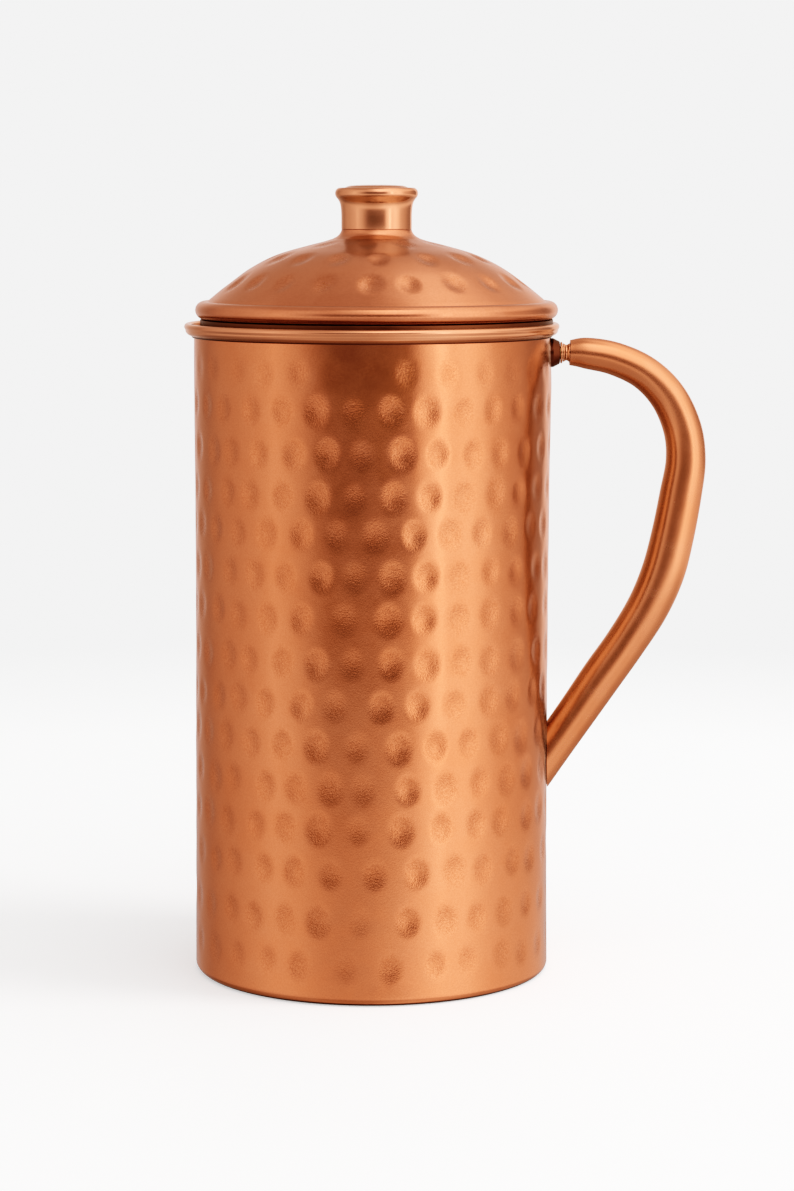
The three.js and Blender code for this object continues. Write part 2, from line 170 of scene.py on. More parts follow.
def revolve(section, columns, centre_x=0.0):
    """Points and faces of a solid of revolution, anticlockwise section, poles where r = 0."""
    section = np.asarray(section, float)
    on_axis = section[0][0] == 0 and section[-1][0] == 0
    angles = np.arange(columns) * 2 * math.pi / columns
    ring = section[1:-1] if on_axis else section
    rows = len(ring)
    radius = ring[:, 0][:, None]
    points = np.stack(
        [
            centre_x + radius * np.cos(angles),
            radius * np.sin(angles),
            np.broadcast_to(ring[:, 1][:, None], (rows, columns)),
        ],
        axis=-1,
    ).reshape(-1, 3)
    faces = []
    last = rows - 1 if on_axis else rows
    for i in range(last):
        upper = ((i + 1) % rows) * columns
        lower = i * columns
        for j in range(columns):
            k = (j + 1) % columns
            faces.append((lower + j, lower + k, upper + k, upper + j))
    if on_axis:
        first_pole = len(points)
        points = np.vstack([points, [centre_x, 0, section[0][1]], [centre_x, 0, section[-1][1]]])
        top = (rows - 1) * columns
        for j in range(columns):
            k = (j + 1) % columns
            faces.append((first_pole, k, j))
            faces.append((first_pole + 1, top + j, top + k))
    return points, faces


def turned(name, section, material, columns=128, centre_x=0.0, sharp_degrees=40):
    points, faces = revolve(section, columns, centre_x)
    return mesh_object(name, points, faces, material, sharp_degrees)


def turned_along_x(name, section, height, material, columns=48):
    """A turned piece whose axis is parallel to X: the heights of its section become x."""
    points, faces = revolve(section, columns)
    points = np.column_stack([points[:, 2], points[:, 1], height - points[:, 0]])
    return mesh_object(name, points, faces, material)


# ---------- materials ----------

def new_material(name):
    material = bpy.data.materials.new(name)
    material.use_nodes = True
    nodes = material.node_tree.nodes
    return material, nodes, material.node_tree.links, nodes["Principled BSDF"]


def set_or_link(links, value, socket):
    """Gives a socket a plain number or colour, or the output that drives it."""
    if isinstance(value, (int, float, tuple)):
        socket.default_value = value
    else:
        links.new(value, socket)


def noise_node(nodes, links, coords, scale, detail, roughness=0.5):
    node = nodes.new("ShaderNodeTexNoise")
    node.inputs["Scale"].default_value = scale
    node.inputs["Detail"].default_value = detail
    node.inputs["Roughness"].default_value = roughness
    links.new(coords, node.inputs["Vector"])
    return node.outputs["Fac"]


def remap(nodes, links, value, from_low, from_high, to_low, to_high):
    node = nodes.new("ShaderNodeMapRange")
    links.new(value, node.inputs["Value"])
    node.inputs["From Min"].default_value = from_low
    node.inputs["From Max"].default_value = from_high
    node.inputs["To Min"].default_value = to_low
    node.inputs["To Max"].default_value = to_high
    return node.outputs["Result"]


def maths(nodes, links, operation, a, b):
    node = nodes.new("ShaderNodeMath")
    node.operation = operation
    for socket, value in zip(node.inputs, (a, b)):
        set_or_link(links, value, socket)
    return node.outputs["Value"]


def mix_colour(nodes, links, share, a, b):
    node = nodes.new("ShaderNodeMix")
    node.data_type = "RGBA"
    links.new(share, node.inputs["Factor"])
    for socket, value in ((node.inputs[6], a), (node.inputs[7], b)):
        set_or_link(links, value, socket)
    return node.outputs[2]


def blend_values(nodes, links, share, a, b):
    node = nodes.new("ShaderNodeMix")
    node.data_type = "FLOAT"
    for socket, value in ((node.inputs[0], share), (node.inputs[2], a), (node.inputs[3], b)):
        set_or_link(links, value, socket)
    return node.outputs[0]


def bump(nodes, links, height, strength, distance_mm):
    node = nodes.new("ShaderNodeBump")
    node.inputs["Distance"].default_value = distance_mm * MM
    set_or_link(links, strength, node.inputs["Strength"])
    links.new(height, node.inputs["Height"])
    return node.outputs["Normal"]


EDGE_TINT = (1.0, 0.87, 0.78, 1)
MIRRORED_COLOUR = (0.42, 0.33, 0.26, 1)
# Colour of the speckle inside the hammer marks: partly grain, partly painted shade in the hollows.
DENT_GRAIN_AND_SHADE_COLOUR = (0.62, 0.155, 0.062, 1)
DRIFT_SCALE = 22  # of the slow change of colour, in waves to the metre
BLOTCH_SCALE = 130
SATIN_GRAIN = 0.35  # strength of the grain on pieces with no hammer marks


def copper(
    name, colour, deep_colour, roughness, spread, grain_mm, dents=False, grain_size_mm=0.7
):
    """Copper with slow colour drift, patchy roughness and a fine satin grain.

    With dents, the vertex value "dent" (0 to 1) roughens the hammer marks and darkens them with a
    speckle: part grain, part painted shade in the hollows.
    """
    material, nodes, links, shader = new_material(name)
    coords = nodes.new("ShaderNodeTexCoord").outputs["Object"]
    drift = noise_node(nodes, links, coords, DRIFT_SCALE, 3)
    blotch = noise_node(nodes, links, coords, BLOTCH_SCALE, 4, 0.6)
    fine = noise_node(nodes, links, coords, 1 / (grain_size_mm * MM), 2, 0.6)
    slow = maths(nodes, links, "MULTIPLY", drift, 0.6)
    patchy = maths(nodes, links, "MULTIPLY", blotch, 0.4)
    together = maths(nodes, links, "ADD", slow, patchy)
    paleness = remap(nodes, links, together, 0.35, 0.65, 0, 1)
    colour_out = mix_colour(nodes, links, paleness, deep_colour, colour)
    rough = remap(nodes, links, blotch, 0.3, 0.7, roughness - spread, roughness + spread)
    grain_strength = SATIN_GRAIN
    if dents:
        attribute = nodes.new("ShaderNodeAttribute")
        attribute.attribute_name = "dent"
        dent = attribute.outputs["Fac"]
        grain_strength = remap(nodes, links, dent, 0.03, 0.5, 0.15, 1.0)
        # Speckled darkening inside the marks, stronger deeper in the hollow: partly grain, partly
        # painted shade.
        speckle = remap(nodes, links, fine, 0.38, 0.62, 0, 1)
        grain_and_shade_share = remap(nodes, links, dent, 0, 0.4, 0.24, 0.62)
        shade = maths(nodes, links, "MULTIPLY", speckle, grain_and_shade_share)
        colour_out = mix_colour(nodes, links, shade, colour_out, DENT_GRAIN_AND_SHADE_COLOUR)
        roughened = maths(nodes, links, "MULTIPLY", dent, 0.03)
        rough = maths(nodes, links, "ADD", rough, roughened)
    normal = bump(nodes, links, fine, grain_strength, grain_mm)
    # Copper mirrored in copper stays brown instead of turning red.
    mirrored = nodes.new("ShaderNodeLightPath").outputs["Is Glossy Ray"]
    colour_out = mix_colour(nodes, links, mirrored, colour_out, MIRRORED_COLOUR)
    links.new(colour_out, shader.inputs["Base Color"])
    links.new(rough, shader.inputs["Roughness"])
    links.new(normal, shader.inputs["Normal"])
    shader.inputs["Metallic"].default_value = 1.0
    shader.inputs["Specular Tint"].default_value = EDGE_TINT
    return material


# Name, pale and deep colours, roughness and how far it varies, and depth of the grain in mm.
hammered_copper = copper(
    "hammered_copper", (0.93, 0.276, 0.128, 1), (0.86, 0.234, 0.102, 1), 0.20, 0.03, 0.085,
    dents=True, grain_size_mm=0.5,
)
lid_copper = copper(
    "lid_copper", (0.91, 0.285, 0.145, 1), (0.83, 0.24, 0.115, 1), 0.24, 0.03, 0.06,
    dents=True, grain_size_mm=0.5,
)
smooth_copper = copper(
    "smooth_copper", (0.99, 0.355, 0.185, 1), (0.94, 0.30, 0.148, 1), 0.16, 0.02, 0.006,
)
handle_copper = copper(
    "handle_copper", (0.97, 0.31, 0.15, 1), (0.90, 0.26, 0.115, 1), 0.26, 0.03, 0.016,
)
# Dark copper that paints shade: the contact shadow round the wall's foot, the shade line under the
# mouth band and the handle's pad in shade; the hidden plug and wire take it too.
dark_copper = copper(
    "dark_copper", (0.16, 0.045, 0.022, 1), (0.08, 0.024, 0.014, 1), 0.34, 0.06, 0.02,
)
# Darkened copper that paints shade: the lid's skirt ring, seen only in the gap under the bead.
shaded_copper = copper(
    "shaded_copper", (0.24, 0.075, 0.035, 1), (0.14, 0.045, 0.022, 1), 0.42, 0.05, 0.02,
)
inside_copper = copper(
    "inside_copper", (0.80, 0.27, 0.10, 1), (0.62, 0.19, 0.065, 1), 0.40, 0.05, 0.03,
    dents=True,
)
screw_brass = copper(
    "screw_brass", (0.70, 0.45, 0.17, 1), (0.52, 0.31, 0.11, 1), 0.32, 0.05, 0.015,
)


# ---------- hammer marks ----------

MARK_RADIUS = 5.1  # in mm, sideways; along the section the marks are longer
MARK_STRETCH = 1.25
MARK_DEPTH = 0.36
WALL_MARK_SPACING = 12.0  # in degrees, away from the front
FRONT_JITTER = 0.3  # in mm
BACK_JITTER = 0.7
BACK_TURN = 1.2  # in degrees

# How hard the marks near the front of the wall were struck: angle in degrees and share.
WALL_STRIKE = [
    (-14, 1.0), (-12, 0.32), (0, 0.32), (2, 0.85), (7, 0.88), (9, 1.22), (19, 1.38), (23, 1.05),
]
LID_STRIKE = [(0, 1.0)]

# Rows of marks up the wall: height in mm, depth as a share of the usual depth, and the angles
# of the marks nearest the front, in degrees from -Y towards +X. The rest of each row carries
# on round the jug at about WALL_MARK_SPACING.
WALL_MARK_ROWS = [
    (12.3, 0.60, (-23.5, -8.0, 6.0, 20.5)),
    (26.2, 0.75, (-28.0, -17.0, -3.5, 11.5, 24.0)),
    (41.3, 0.85, (-25.0, -13.0, 1.0, 14.5, 27.0)),
    (54.8, 0.90, (-28.0, -17.0, -4.0, 9.5, 22.5)),
    (67.5, 0.90, (-24.5, -13.0, -2.5, 11.5, 24.0)),
    (80.3, 1.00, (-29.0, -17.5, -4.5, 8.5, 20.5)),
    (92.8, 1.00, (-22.5, -11.5, 3.0, 14.5, 27.0)),
    (105.8, 1.00, (-29.0, -17.5, -6.0, 6.0, 17.5, 29.0)),
    (119.5, 1.00, (-22.5, -8.5, 5.0, 16.5, 28.0)),
    (132.3, 1.00, (-28.0, -16.0, -5.5, 6.0, 17.0, 28.0)),
    (145.0, 1.00, (-22.5, -11.0, 1.0, 13.0, 25.0)),
    (156.5, 1.05, (-29.0, -17.0, -5.5, 6.5, 18.0, 29.5)),
    (169.3, 1.05, (-25.0, -14.0, -3.5, 9.0, 20.5)),
    (182.3, 1.05, (-29.0, -17.5, -6.0, 5.5, 17.0, 29.0)),
    (193.7, 0.42, (-23.5, -12.0, -1.0, 10.0, 24.0)),
]


def make_mark(front_degrees, depth_share, jitter_mm):
    """One mark: its angle in radians, shift along the face in mm, radius and depth."""
    return (
        front_degrees * DEG,
        rng.uniform(-jitter_mm, jitter_mm),
        MARK_RADIUS * rng.uniform(0.93, 1.08),
        MARK_DEPTH * depth_share * rng.uniform(0.88, 1.12),
    )


def row_of_marks(front_angles, depth_share, spacing, strike):
    """A whole row, carried on from its marks near the front at about the given spacing.

    strike says by angle how hard the marks near the front were struck.
    """
    marks = []
    for angle in front_angles:
        struck = float(np.interp(angle, *zip(*strike)))
        marks.append(make_mark(angle, depth_share * struck, FRONT_JITTER))
    gap = 360 - (front_angles[-1] - front_angles[0])
    count = round(gap / spacing)
    for i in range(1, count):
        angle = front_angles[-1] + gap * i / count + rng.uniform(-BACK_TURN, BACK_TURN)
        marks.append(make_mark(angle, depth_share, BACK_JITTER))
    return marks


def dent_field(front_angle, along, ring_radius, rows):
    """Depth in mm and share (0 to 1) of the hammer marks at points of a turned face.

    front_angle is measured from -Y towards +X, along is the place along the section in mm,
    and ring_radius the distance from the axis there.
    """
    depth = np.zeros_like(along)
    share = np.zeros_like(along)
    for centre, marks in rows:
        near = np.abs(along - centre) < MARK_RADIUS * MARK_STRETCH * 1.3
        angle_near, along_near, radius_near = front_angle[near], along[near], ring_radius[near]
        depth_near, share_near = depth[near], share[near]
        for angle, shift, mark_radius, mark_depth in marks:
            turn = (angle_near - angle + math.pi) % (2 * math.pi) - math.pi
            offset = (along_near - centre - shift) / MARK_STRETCH
            square = (turn * radius_near) ** 2 + offset**2
            inside = np.clip(1 - square / mark_radius**2, 0, 1)
            depth_near = depth_near + mark_depth * inside**3
            share_near = np.maximum(share_near, inside**2 * min(1, mark_depth / MARK_DEPTH))
        depth[near], share[near] = depth_near, share_near
    return depth, share


def ripple(front_angle, along, ring_radius, amplitude):
    """Slow unevenness left by planishing, in mm."""
    around = front_angle * ring_radius
    return amplitude * (
        np.sin(around / 5.1 + 1.3 * np.sin(along / 17.0)) * np.sin(along / 7.3 + 0.8)
        + 0.7 * np.sin(front_angle * 9 + along / 31.0)
    ) / 1.7


def store_dents(piece, share):
    """Keeps each vertex's share of a mark on the mesh, for the material."""
    attribute = piece.data.attributes.new("dent", "FLOAT", "POINT")
    attribute.data.foreach_set("value", np.asarray(share, np.float32))


# ---------- jug body ----------

WALL_COLUMNS = 460
WALL_OUTER_ROWS = 262
WALL_INNER_ROWS = 132
# Those rows are painted dark as the contact shadow where the wall meets the floor.
FOOT_CONTACT_SHADOW_ROWS = 7  # rows of faces round the edge that the wall stands on
WALL_MARGIN = 3  # in mm, left free of marks at the foot and under the band
MARGIN_FADE = 4
WALL_RIPPLE = 0.05
# Height in mm, how far the hand-raised wall stands proud of the turned form, and its lean in +X.
WALL_SET = [
    (0, 0.25, -0.35), (60, 0.25, -0.32), (95, 0.25, -0.18), (125, 0.25, 0.0), (155, 0.28, 0.10),
    (175, 0.42, 0.22), (187, 0.50, 0.30), (197, 0.30, 0.18), (204.4, 0.05, 0.0),
]


def body_wall():
    """The hammered wall: outer face, top edge, inner face and the hem under the base."""
    outer_heights = np.linspace(CORNER_RADIUS, WALL_TOP, WALL_OUTER_ROWS)
    inner_heights = np.linspace(WALL_TOP, CORNER_RADIUS, WALL_INNER_ROWS)
    corner = (WALL_BASE_RADIUS - CORNER_RADIUS, CORNER_RADIUS)
    section = [(HEM_INNER_RADIUS, 0.0)]
    section += arc(corner, CORNER_RADIUS, -90, 0, 10)[:-1]
    outer_start = len(section)
    section += [(float(wall_radius(h)), h) for h in outer_heights]
    outer_end = len(section)
    section += [(float(wall_radius(h)) - WALL_THICKNESS, h) for h in inner_heights]
    inner_end = len(section)
    section += arc(corner, CORNER_RADIUS - WALL_THICKNESS, 0, -90, 5)[1:]
    section += [(HEM_INNER_RADIUS, WALL_THICKNESS)]
    points, faces = revolve(section, WALL_COLUMNS)
    rows = len(section)
    grid = points.reshape(rows, WALL_COLUMNS, 3)
    faced = slice(outer_start, inner_end)
    x, y, height = (grid[faced, :, i] for i in range(3))
    radius = np.hypot(x, y)
    front = np.arctan2(x, -y)
    mark_rows = [
        (centre, row_of_marks(front_angles, share, WALL_MARK_SPACING, WALL_STRIKE))
        for centre, share, front_angles in WALL_MARK_ROWS
    ]
    depth, dent = dent_field(front, height, np.full_like(height, WALL_WAIST_RADIUS), mark_rows)
    # The marks fade out under the mouth band and at the rounded foot.
    fade = np.clip((WALL_TOP - WALL_MARGIN - height) / MARGIN_FADE, 0, 1)
    fade = fade * np.clip((height - WALL_MARGIN) / MARGIN_FADE, 0, 1)
    wave = ripple(front, height, WALL_WAIST_RADIUS, WALL_RIPPLE)
    set_heights, proud, lean = zip(*WALL_SET)
    proud = np.array(smooth_run(list(zip(set_heights, proud)), 8)).T
    lean = np.array(smooth_run(list(zip(set_heights, lean)), 8)).T
    new_radius = radius - (depth + wave) * fade + np.interp(height, *proud)
    grid[faced, :, 0] = x * new_radius / radius + np.interp(height, *lean)
    grid[faced, :, 1] = y * new_radius / radius
    # The rounded foot follows the wall and comes back to the true circle at the floor.
    for row in range(1, outer_start):
        share = row / outer_start
        spread = 1 + proud[1, 0] * share / WALL_BASE_RADIUS
        grid[row, :, :2] *= spread
        grid[row, :, 0] += lean[1, 0] * share
    wall = mesh_object("hammered_wall", grid.reshape(-1, 3), faces, hammered_copper, 50)
    share = np.zeros((rows, WALL_COLUMNS))
    share[faced] = dent * fade
    store_dents(wall, share.ravel())
    # Hammered outside, duller inside, and painted dark round the edge that it stands on, as the
    # contact shadow on the floor.
    wall.data.materials.append(inside_copper)
    wall.data.materials.append(dark_copper)
    slots = np.zeros(len(faces), int)
    slots[outer_end * WALL_COLUMNS :] = 1
    slots[: FOOT_CONTACT_SHADOW_ROWS * WALL_COLUMNS] = 2
    wall.data.polygons.foreach_set("material_index", slots.tolist())
    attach(wall, "jug")
    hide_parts("body_wall")


def base_disc():
    """The flat bottom: a pan that fills the ring of the hem and rests on it inside."""
    radius = disc_high[0]
    flush = HEM_INNER_RADIUS - 0.3
    section = rounded(
        [
            (0, 0, 0),
            (flush, 0, 0.3),
            (flush, 1.2, 0.1),
            (radius - 0.4, 1.2, 0.1),
            (radius, 1.6, 0.1),
            (radius, disc_high[2], 0.3),
            (radius - 3.4, disc_high[2], 0.6),
            (radius - 4.4, 1.0, 0.6),
            (0, 1.0, 0),
        ],
        closed=False,
    )
    disc = turned("base_plate", section, inside_copper, 160)
    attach(disc, "jug")
    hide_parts("base_disc")


CREST_RADIUS = 1.1
SEAM_RADIUS = 0.3
BAND_COLUMNS = 240


def mouth_band():
    """Flared band with a rolled crest, over the wall's top edge, and the lid's gallery."""
    foot_radius = WALL_TOP_RADIUS + 0.2
    foot = band_low[2]
    crest = (band_high[0] - CREST_RADIUS, band_high[2] - CREST_RADIUS)
    inner_radius = wall_high[0] - 2.6
    gallery = crest[1] - 0.6
    section = arc((foot_radius + SEAM_RADIUS, foot + SEAM_RADIUS), SEAM_RADIUS, 180, 300, 5)
    section += [(foot_radius + 0.52, foot + 0.12), (foot_radius + 0.6, foot + 0.45)]
    shaded_foot_rows = len(section) - 1
    section += smooth_run(
        [
            (foot_radius + 0.85, foot + 0.55), (foot_radius + 1.78, foot + 1.0),
            (foot_radius + 2.38, foot + 1.7), (foot_radius + 2.62, foot + 2.7),
        ],
        6,
    )[:-1]
    section += arc(crest, CREST_RADIUS, -18, 150, 14)
    section += rounded(
        [
            (crest[0] - 0.8, crest[1] - 0.1, 0.2),
            (crest[0] - 0.8, gallery, 0.5),
            (inner_radius, gallery, 0.3),
            (inner_radius, gallery - GALLERY_THICKNESS, 0.2),
            (foot_radius, gallery - GALLERY_THICKNESS, 0.1),
        ],
        closed=False,
    )
    band = turned("mouth_band_rolled", section, smooth_copper, BAND_COLUMNS)
    # The band's lower edge, where it meets the wall, is painted dark as shade.
    band.data.materials.append(dark_copper)
    shaded_foot_slots = [int(i < shaded_foot_rows * BAND_COLUMNS) for i in range(len(band.data.polygons))]
    band.data.polygons.foreach_set("material_index", shaded_foot_slots)
    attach(band, "jug")
    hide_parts("mouth_band")


# ---------- handle ----------

# Guides down the middle of the handle: x, z and outside diameter in mm.
HANDLE_GUIDES = [
    (62.6, 197.6, 8.0),
    (68.0, 197.4, 9.9),
    (77.0, 195.6, 10.5),
    (86.5, 191.1, 10.9),
    (93.9, 183.6, 11.6),
    (98.5, 173.6, 12.2),
    (99.7, 163.5, 12.7),
    (98.2, 152.5, 13.4),
    (95.8, 139.5, 13.7),
    (92.8, 127.5, 13.9),
    (88.0, 116.2, 13.5),
    (81.0, 104.8, 13.0),
    (73.6, 94.2, 13.0),
    (66.2, 83.3, 12.6),
    (58.8, 72.6, 12.4),
    (51.4, 61.9, 12.4),
]
HANDLE_BORE_SHARE = 0.84
HANDLE_SIDES = 64
HANDLE_RINGS = 150
WALL_CLEARANCE = 0.05


def handle_tube():
    """The tapered tube: each line along it ends where it meets the wall."""
    sides, rings = HANDLE_SIDES, HANDLE_RINGS
    run = np.asarray(smooth_run(HANDLE_GUIDES, 24))
    middle, radius = run[:, :2], run[:, 2] / 2
    along = np.gradient(middle, axis=0)
    along /= np.linalg.norm(along, axis=1)[:, None]
    outward = np.column_stack([along[:, 1], -along[:, 0]])
    steps = np.arange(len(run))

    def line_points(turn, share_of_radius):
        """Evenly spaced points of one line along the tube, as far as the wall."""
        reach = radius * share_of_radius
        x = middle[:, 0] - outward[:, 0] * reach * math.cos(turn)
        z = middle[:, 1] - outward[:, 1] * reach * math.cos(turn)
        y = reach * math.sin(turn)
        clear = np.hypot(x, y) - (wall_radius(z) + WALL_CLEARANCE)
        beyond = np.nonzero(clear < 0)[0]
        end = float(len(run) - 1)
        if len(beyond):
            k = beyond[0]
            end = k - 1 + clear[k - 1] / (clear[k - 1] - clear[k])
        places = np.linspace(0, end, rings + 1)
        return np.column_stack([np.interp(places, steps, v) for v in (x, y, z)])

    turns = np.arange(sides) * 2 * math.pi / sides
    outer = np.stack([line_points(t, 1.0) for t in turns], axis=1)
    bore = np.stack([line_points(t, HANDLE_BORE_SHARE) for t in turns], axis=1)
    points = np.concatenate([outer.reshape(-1, 3), bore.reshape(-1, 3)])
    half = (rings + 1) * sides
    last = rings * sides
    faces = []
    for i in range(rings):
        for j in range(sides):
            k = (j + 1) % sides
            a, b = i * sides, (i + 1) * sides
            faces.append((a + j, a + k, b + k, b + j))
            faces.append((half + a + k, half + a + j, half + b + j, half + b + k))
    for j in range(sides):
        k = (j + 1) % sides
        faces.append((j, half + j, half + k, k))
        faces.append((last + k, half + last + k, half + last + j, last + j))
    tube = mesh_object("handle_bent_tube", points, faces, handle_copper)
    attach(tube, "jug")
    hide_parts("handle_tube")


JOINT_BORE_RADIUS = 2.1
COLLAR_RADIUS = 2.9


def handle_joint():
    """Pad, washer and turned collar between the wall and the handle's upper end."""
    height = HANDLE_TOP_HEIGHT
    face = box_mm("handle_pad")[1][0]
    washer_low, washer_high = box_mm("handle_washer")
    collar_low, collar_high = box_mm("handle_collar")
    # The pad is painted dark copper, as the shade that it stands in.
    pad = turned_along_x(
        "handle_pad_boss",
        rounded(
            [
                (0, 55.6, 0), (4.6, 55.6, 0), (4.6, face - 2.1, 0.2), (3.6, face - 0.15, 0.1),
                (3.4, face, 0.1), (0, face, 0),
            ],
            closed=False,
        ),
        height, dark_copper,
    )
    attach(pad, "jug")
    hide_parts("handle_pad")
    washer = turned_along_x(
        "handle_bright_ring",
        rounded(
            [
                (JOINT_BORE_RADIUS, washer_low[0], 0), (3.4, washer_low[0], 0.25),
                (3.4, washer_high[0], 0.25), (JOINT_BORE_RADIUS, washer_high[0], 0),
            ]
        ),
        height, smooth_copper,
    )
    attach(washer, "jug")
    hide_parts("handle_washer")
    start = collar_low[0]
    collar = turned_along_x(
        "handle_spool",
        rounded(
            [
                (JOINT_BORE_RADIUS, start, 0), (COLLAR_RADIUS, start, 0.1),
                (COLLAR_RADIUS, start + 0.3, 0.1), (2.5, start + 0.9, 0.8),
                (2.5, start + 1.3, 0.8), (COLLAR_RADIUS, start + 1.9, 0.1),
                (COLLAR_RADIUS, start + 2.2, 0.1), (2.3, start + 2.3, 0),
                (2.3, collar_high[0], 0.2),
                (JOINT_BORE_RADIUS, collar_high[0], 0),
            ]
        ),
        height, smooth_copper,
    )
    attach(collar, "jug")
    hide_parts("handle_collar")


SLOT_HALF_WIDTH = 0.55
SLOT_DEPTH = 0.8


def slotted_screw(name, node, shank, head_height, height=None):
    """A pan-head screw with a driver slot: parallel to X at the given height, or up the lid."""
    low, high = box_mm(node)
    along_x = height is not None
    start, tip = (low[0], high[0]) if along_x else (low[2], high[2])
    head_radius = (high[1] - low[1]) / 2
    shoulder = start + head_height
    section = rounded(
        [
            (0, start, 0), (head_radius * 0.6, start + 0.15, 0.8),
            (head_radius, start + 1.0, 0.5), (head_radius, shoulder, 0.2),
            (shank, shoulder, 0), (shank, tip - 0.8, 0.2), (shank * 0.6, tip, 0.2), (0, tip, 0),
        ],
        closed=False,
    )
    if along_x:
        piece = turned_along_x(name, section, height, screw_brass)
    else:
        piece = turned(name, section, screw_brass, 48, LID_X)
    cutter_mesh = bpy.data.meshes.new(name + "_slot")
    if along_x:
        centre = (start, 0, height)
        half = (SLOT_DEPTH, head_radius + 1, SLOT_HALF_WIDTH)
    else:
        centre = (LID_X, 0, start)
        half = (SLOT_HALF_WIDTH, head_radius + 1, SLOT_DEPTH)
    corners = [
        [(centre[i] + half[i] * side[i]) * MM for i in range(3)]
        for side in itertools.product((-1, 1), repeat=3)
    ]
    cutter_mesh.from_pydata(
        corners, [],
        [(0, 1, 3, 2), (4, 6, 7, 5), (0, 4, 5, 1), (2, 3, 7, 6), (0, 2, 6, 4), (1, 5, 7, 3)],
    )
    cutter = bpy.data.objects.new(name + "_slot", cutter_mesh)
    bpy.context.scene.collection.objects.link(cutter)
    cut = piece.modifiers.new("slot", "BOOLEAN")
    cut.operation = "DIFFERENCE"
    cut.solver = "EXACT"
    cut.object = cutter
    bpy.context.view_layer.update()
    result = bpy.data.meshes.new_from_object(
        piece.evaluated_get(bpy.context.evaluated_depsgraph_get())
    )
    piece.modifiers.clear()
    piece.data = result
    piece.data.set_sharp_from_angle(angle=35 * DEG)
    bpy.data.objects.remove(cutter)
    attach(piece, "jug" if along_x else "lid")
    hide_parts(node)


def flat_washer(name, node, height=None):
    """A washer: parallel to X at the given height, or under the lid."""
    low, high = box_mm(node)
    outer = (high[1] - low[1]) / 2
    along_x = height is not None
    start, end = (low[0], high[0]) if along_x else (low[2], high[2])
    section = rounded(
        [
            (BORE_RADIUS, start, 0.1), (outer, start, 0.2), (outer, end, 0.2),
            (BORE_RADIUS, end, 0.1),
        ]
    )
    if along_x:
        washer = turned_along_x(name, section, height, screw_brass)
    else:
        washer = turned(name, section, screw_brass, 48, LID_X)
    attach(washer, "lid" if height is None else "jug")
    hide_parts(node)


# ---------- lid ----------

LID_COLUMNS = 360
BEAD_RADIUS = 2.8
BEAD_CENTRE = (lid_high[0] - LID_X - BEAD_RADIUS, lid_low[2] + BEAD_RADIUS)
SEAT_RADIUS = 11.0
SEAT_HEIGHT = lid_high[2]
LID_RIPPLE = 0.06

# Rings of marks on the lid: radius from its axis in mm, usual spacing in degrees, depth share,
# and the angles of the marks nearest the front.
LID_MARK_RINGS = [
    (19.5, 36.0, 0.80, (-54.0, -8.0, 27.0, 70.0)),
    (33.5, 23.0, 1.60, (-43.0, -20.5, 1.0, 27.5, 51.0)),
    (45.4, 17.0, 1.85, (-55.0, -38.5, -20.5, -2.5, 12.5, 31.5, 49.0)),
]


def lid_dome():
    """The hammered lid sheet: the knob's seat, the dome, the brim and the rolled bead."""
    seat = [(BORE_RADIUS, SEAT_HEIGHT), (SEAT_RADIUS - 0.4, SEAT_HEIGHT)]
    seat += arc((SEAT_RADIUS - 0.15, SEAT_HEIGHT - 0.25), 0.25, 90, 5, 4)
    cove = [(SEAT_RADIUS + 0.12, 235.9), (11.6, 235.0), (12.4, 234.2), (13.7, 233.45)]
    dome = smooth_run(cove, 5)[:-1] + smooth_run(
        [
            (13.7, 233.45), (16.0, 232.75), (22.0, 231.2), (31.5, 228.4), (39.8, 224.2),
            (46.6, 219.4), (52.4, 214.7),
        ],
        14,
    )
    bead = arc(BEAD_CENTRE, BEAD_RADIUS, 112, -182, 40)
    face = seat + dome + bead
    section = sheet_section(face, LID_THICKNESS)
    points, faces = revolve(section, LID_COLUMNS, LID_X)
    grid = points.reshape(len(section), LID_COLUMNS, 3)
    x, y = grid[:, :, 0] - LID_X, grid[:, :, 1]
    radius = np.hypot(x, y)
    front = np.arctan2(x, -y)
    run = np.asarray(face)
    slope = np.gradient(run, axis=0)
    slope /= np.linalg.norm(slope, axis=1)[:, None]
    inward = np.column_stack([slope[:, 1], -slope[:, 0]])
    lengths = np.concatenate([[0], np.cumsum(np.linalg.norm(np.diff(run, axis=0), axis=1))])
    dome_end = len(seat) + len(dome)
    # The sheet's section runs along one face and back along the other.
    along_face = np.concatenate([lengths, lengths[::-1]])
    inward_face = np.vstack([inward, inward[::-1]])
    along = np.repeat(along_face[:, None], LID_COLUMNS, axis=1)
    mark_rows = []
    for ring_radius, spacing, share, front_angles in LID_MARK_RINGS:
        centre = float(np.interp(ring_radius, run[:dome_end, 0], lengths[:dome_end]))
        mark_rows.append((centre, row_of_marks(front_angles, share, spacing, LID_STRIKE)))
    depth, dent = dent_field(front, along, radius, mark_rows)
    # The marks fade out before the brim and round the knob's seat.
    brim = float(lengths[dome_end - 1])
    fade = np.clip((brim - 2 - along) / 3, 0, 1) * np.clip((along - SEAT_RADIUS - 1) / 4, 0, 1)
    wave = ripple(front, along, radius, LID_RIPPLE)
    push = (depth + wave) * fade
    radial = inward_face[:, 0][:, None] * push
    grid[:, :, 0] += radial * x / radius
    grid[:, :, 1] += radial * y / radius
    grid[:, :, 2] += inward_face[:, 1][:, None] * push
    dome_piece = mesh_object("hammered_lid", grid.reshape(-1, 3), faces, lid_copper, 60)
    store_dents(dome_piece, (dent * fade).ravel())
    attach(dome_piece, "lid")
    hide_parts("lid_dome")


